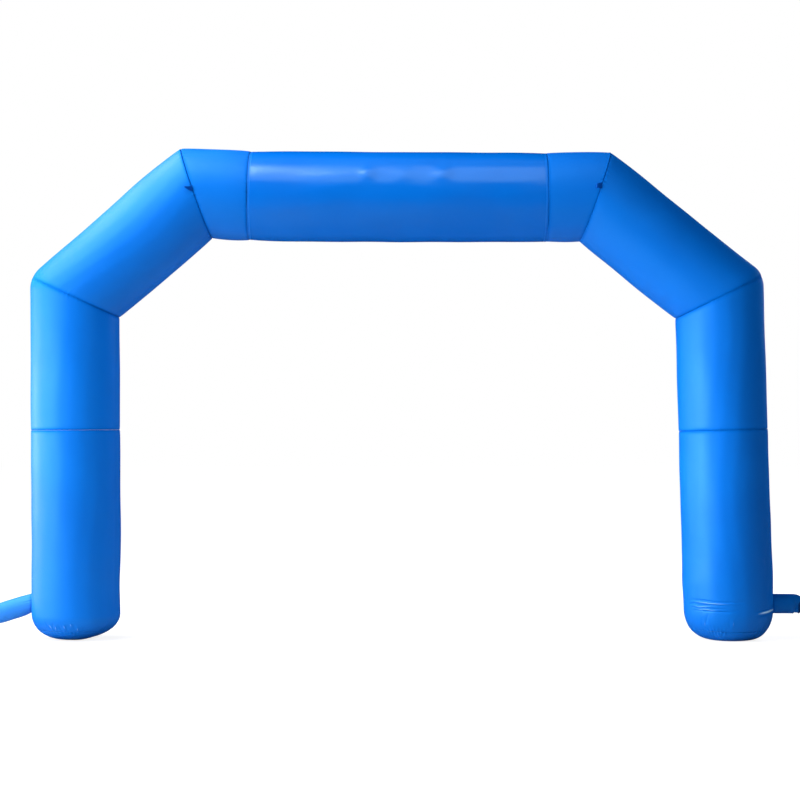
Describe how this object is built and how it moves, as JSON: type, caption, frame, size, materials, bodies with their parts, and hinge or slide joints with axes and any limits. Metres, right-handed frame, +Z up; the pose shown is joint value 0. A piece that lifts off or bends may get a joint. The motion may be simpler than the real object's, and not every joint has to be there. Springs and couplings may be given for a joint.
{
  "type": "inflatable arch",
  "caption": "Air-blown event arch of round blue cloth tube: upright legs, slanted shoulders, level beam, a blower sleeve and a tied-off sleeve.",
  "frame": {"origin": "on the ground in the arch's plane, midway between the ends of the two sleeves", "axes": "+X along the beam, from the leg with the open blower sleeve to the leg with the tied sleeve; +Z up; the anchor tabs are on the front, which faces -Y"},
  "size_m": [6.9, 0.7463, 3.9625],
  "materials": {
    "arch_cloth": "bright blue coated Oxford cloth, satin",
    "sleeve_cloth": "bright blue uncoated-looking Oxford cloth, softer and duller than the tube",
    "tie_cord": "navy braided cord",
    "anchor_webbing": "blue woven webbing"
  },
  "bodies": {
    "root": {"foot_base_left": "arch_cloth", "foot_base_right": "arch_cloth", "leg_lower_left": "arch_cloth", "leg_lower_right": "arch_cloth", "leg_upper_left": "arch_cloth", "leg_upper_right": "arch_cloth", "diagonal_left": "arch_cloth", "diagonal_right": "arch_cloth", "beam_side_left": "arch_cloth", "beam_side_right": "arch_cloth", "beam_centre": "arch_cloth", "sleeve_inlet": "sleeve_cloth", "sleeve_vent": "sleeve_cloth", "sleeve_tie": "tie_cord", "anchor_tab_left": "anchor_webbing", "anchor_tab_right": "anchor_webbing"}
  },
  "joints": []
}
